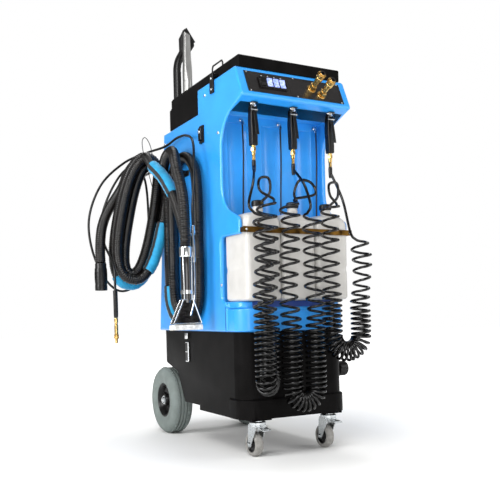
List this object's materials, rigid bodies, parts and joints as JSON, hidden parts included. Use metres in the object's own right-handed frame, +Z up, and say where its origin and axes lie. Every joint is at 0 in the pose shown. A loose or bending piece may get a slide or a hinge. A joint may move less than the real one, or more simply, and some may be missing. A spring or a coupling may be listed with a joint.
{
  "type": "hot water extractor cart",
  "caption": "Wheeled upright extractor with a blue body, black base and lid, chemical jugs, spray guns on coiled hoses and a hung vacuum hose.",
  "frame": {"origin": "floor, under the centre of the machine's own outline with its free hoses left out", "axes": "+Z up, -Y the control panel's side, -X the side with the hung hoses"},
  "size_m": [0.7628, 0.9561, 1.618],
  "materials": {
    "blue_polyethylene": "satin moulded",
    "black_polyethylene": "fine grained",
    "black_plastic": "satin",
    "natural_polyethylene": "milky translucent",
    "brass": "machined",
    "bronze_strip": "bronze anodised",
    "zinc_plate": "bright zinc plated",
    "stainless_steel": "polished",
    "grey_rubber": "matt",
    "grey_caster_rubber": "matt",
    "black_rubber": "satin",
    "black_panel": "glossy",
    "blue_rocker": "glossy lit",
    "black_coil_hose": "glossy"
  },
  "bodies": {
    "machine": {"base_tank": "black_polyethylene", "rear_cover": "black_polyethylene", "body_shell": "blue_polyethylene", "spray_gun_1": "black_plastic", "spray_gun_2": "black_plastic", "spray_gun_3": "black_plastic", "hose_hooks": "black_plastic", "upholstery_tool": "stainless_steel", "control_panel": "black_panel", "hose_plug": "brass", "jug_1": "natural_polyethylene", "jug_2": "natural_polyethylene", "jug_3": "natural_polyethylene", "jug_rail": "bronze_strip", "supply_line_1": "black_rubber", "supply_line_2": "black_rubber", "supply_line_3": "black_rubber", "hose_hank_side": "black_rubber", "hose_hank_rear": "black_rubber", "vacuum_hose_lead": "black_rubber", "vacuum_hose_tail": "black_rubber", "hose_cuff": "black_rubber", "solution_hose": "black_rubber", "coil_hose_1": "black_coil_hose", "coil_hose_2": "black_coil_hose", "coil_hose_3": "black_coil_hose", "hose_whip_1": "black_coil_hose", "hose_whip_2": "black_coil_hose", "hose_whip_3": "black_coil_hose", "rear_axle": "zinc_plate"},
    "lid": {"lid": "black_polyethylene"},
    "lid_bail": {"lid_bail": "black_plastic"},
    "lid_latch": {"lid_latch": "black_plastic"},
    "base_latch_left": {"base_latch_left": "stainless_steel"},
    "base_latch_right": {"base_latch_right": "stainless_steel"},
    "rear_wheel_left": {"rear_tyre_left": "grey_rubber", "rear_rim_left": "black_plastic"},
    "rear_wheel_right": {"rear_tyre_right": "grey_rubber", "rear_rim_right": "black_plastic"},
    "drain_valve": {"drain_valve": "black_plastic"},
    "crevice_tool": {"crevice_tool": "stainless_steel"},
    "detail_tool": {"detail_tool": "black_plastic"},
    "rocker_1": {"rocker_1": "black_plastic"},
    "rocker_2": {"rocker_2": "blue_rocker"},
    "rocker_3": {"rocker_3": "blue_rocker"},
    "rocker_4": {"rocker_4": "blue_rocker"},
    "coupler_sleeve_1": {"coupler_sleeve_1": "brass"},
    "coupler_sleeve_2": {"coupler_sleeve_2": "brass"},
    "jug_cap_1": {"jug_cap_1": "black_plastic"},
    "trigger_1": {"trigger_1": "black_plastic"},
    "jug_cap_2": {"jug_cap_2": "black_plastic"},
    "trigger_2": {"trigger_2": "black_plastic"},
    "jug_cap_3": {"jug_cap_3": "black_plastic"},
    "trigger_3": {"trigger_3": "black_plastic"},
    "caster_swivel_left": {"caster_fork_left": "zinc_plate"},
    "caster_wheel_left": {"caster_wheel_left": "grey_caster_rubber"},
    "caster_brake_left": {"caster_brake_left": "zinc_plate"},
    "caster_swivel_right": {"caster_fork_right": "zinc_plate"},
    "caster_wheel_right": {"caster_wheel_right": "grey_caster_rubber"},
    "caster_brake_right": {"caster_brake_right": "zinc_plate"}
  },
  "joints": [
    {"name": "lid_hinge", "type": "hinge", "parent": "machine", "child": "lid", "pos_m": [0.2191, -0.0622, 1.251], "axis": [0, 1, 0], "range_deg": [0, 100]},
    {"name": "lid_bail_pivot", "type": "hinge", "parent": "lid", "child": "lid_bail", "pos_m": [-0.1434, -0.1172, 1.287], "axis": [0, 1, 0], "range_deg": [0, 85]},
    {"name": "lid_latch_pivot", "type": "hinge", "parent": "machine", "child": "lid_latch", "pos_m": [-0.1967, -0.1852, 1.198], "axis": [0, -1, 0], "range_deg": [0, 90]},
    {"name": "base_latch_left_pivot", "type": "hinge", "parent": "machine", "child": "base_latch_left", "pos_m": [-0.1887, 0.0828, 0.292], "axis": [0, -1, 0], "range_deg": [0, 90]},
    {"name": "base_latch_right_pivot", "type": "hinge", "parent": "machine", "child": "base_latch_right", "pos_m": [0.2119, 0.0828, 0.292], "axis": [0, 1, 0], "range_deg": [0, 90]},
    {"name": "rocker_1_tip", "type": "hinge", "parent": "machine", "child": "rocker_1", "pos_m": [-0.1089, -0.36752, 1.19234], "axis": [1, 0, 0], "range_deg": [-9, 0]},
    {"name": "rocker_2_tip", "type": "hinge", "parent": "machine", "child": "rocker_2", "pos_m": [-0.0854, -0.36752, 1.19234], "axis": [1, 0, 0], "range_deg": [-9, 0]},
    {"name": "rocker_3_tip", "type": "hinge", "parent": "machine", "child": "rocker_3", "pos_m": [-0.0619, -0.36752, 1.19234], "axis": [1, 0, 0], "range_deg": [-9, 0]},
    {"name": "rocker_4_tip", "type": "hinge", "parent": "machine", "child": "rocker_4", "pos_m": [-0.0384, -0.36752, 1.19234], "axis": [1, 0, 0], "range_deg": [-9, 0]},
    {"name": "coupler_sleeve_1_slide", "type": "slide", "parent": "machine", "child": "coupler_sleeve_1", "axis": [0, 0.9083, -0.4184], "range_m": [0, 0.004], "stiffness_N_per_m": 400, "springref_m": -0.004},
    {"name": "coupler_sleeve_2_slide", "type": "slide", "parent": "machine", "child": "coupler_sleeve_2", "axis": [0, 0.9083, -0.4184], "range_m": [0, 0.004], "stiffness_N_per_m": 400, "springref_m": -0.004},
    {"name": "jug_cap_1_thread", "type": "hinge", "parent": "machine", "child": "jug_cap_1", "pos_m": [-0.1189, -0.3322, 0.806], "axis": [0, 0, 1], "range_deg": [0, 360]},
    {"name": "jug_cap_2_thread", "type": "hinge", "parent": "machine", "child": "jug_cap_2", "pos_m": [0.0116, -0.3322, 0.806], "axis": [0, 0, 1], "range_deg": [0, 360]},
    {"name": "jug_cap_3_thread", "type": "hinge", "parent": "machine", "child": "jug_cap_3", "pos_m": [0.1421, -0.3322, 0.806], "axis": [0, 0, 1], "range_deg": [0, 360]},
    {"name": "trigger_1_pivot", "type": "hinge", "parent": "machine", "child": "trigger_1", "pos_m": [-0.1354, -0.3587, 1.102], "axis": [1, 0, 0], "range_deg": [0, 10], "stiffness_Nm_per_rad": 0.4, "springref_deg": -8.59},
    {"name": "trigger_2_pivot", "type": "hinge", "parent": "machine", "child": "trigger_2", "pos_m": [0.0116, -0.3587, 1.102], "axis": [1, 0, 0], "range_deg": [0, 10], "stiffness_Nm_per_rad": 0.4, "springref_deg": -8.59},
    {"name": "trigger_3_pivot", "type": "hinge", "parent": "machine", "child": "trigger_3", "pos_m": [0.1586, -0.3587, 1.102], "axis": [1, 0, 0], "range_deg": [0, 10], "stiffness_Nm_per_rad": 0.4, "springref_deg": -8.59},
    {"name": "rear_wheel_left_spin", "type": "hinge", "parent": "machine", "child": "rear_wheel_left", "pos_m": [-0.1629, 0.3203, 0.13], "axis": [1, 0, 0], "continuous": true},
    {"name": "rear_wheel_right_spin", "type": "hinge", "parent": "machine", "child": "rear_wheel_right", "pos_m": [0.1861, 0.3203, 0.13], "axis": [1, 0, 0], "continuous": true},
    {"name": "caster_left_swivel", "type": "hinge", "parent": "machine", "child": "caster_swivel_left", "pos_m": [-0.1264, -0.3122, 0.1207], "axis": [0, 0, 1], "continuous": true},
    {"name": "caster_left_spin", "type": "hinge", "parent": "caster_swivel_left", "child": "caster_wheel_left", "pos_m": [-0.1264, -0.2882, 0.04], "axis": [1, 0, 0], "continuous": true},
    {"name": "caster_left_brake", "type": "hinge", "parent": "caster_swivel_left", "child": "caster_brake_left", "pos_m": [-0.1264, -0.3357, 0.094], "axis": [1, 0, 0], "range_deg": [0, 15]},
    {"name": "caster_right_swivel", "type": "hinge", "parent": "machine", "child": "caster_swivel_right", "pos_m": [0.1496, -0.3122, 0.1207], "axis": [0, 0, 1], "continuous": true},
    {"name": "caster_right_spin", "type": "hinge", "parent": "caster_swivel_right", "child": "caster_wheel_right", "pos_m": [0.1496, -0.2882, 0.04], "axis": [1, 0, 0], "continuous": true},
    {"name": "caster_right_brake", "type": "hinge", "parent": "caster_swivel_right", "child": "caster_brake_right", "pos_m": [0.1496, -0.3357, 0.094], "axis": [1, 0, 0], "range_deg": [0, 15]},
    {"name": "drain_valve_turn", "type": "hinge", "parent": "machine", "child": "drain_valve", "pos_m": [0.2159, -0.2472, 0.262], "axis": [1, 0, 0], "range_deg": [0, 90]},
    {"name": "crevice_tool_lift", "type": "slide", "parent": "machine", "child": "crevice_tool", "axis": [0, 0, 1], "range_m": [0, 0.15]},
    {"name": "detail_tool_lift", "type": "slide", "parent": "machine", "child": "detail_tool", "axis": [0, 0, 1], "range_m": [0, 0.15]}
  ]
}
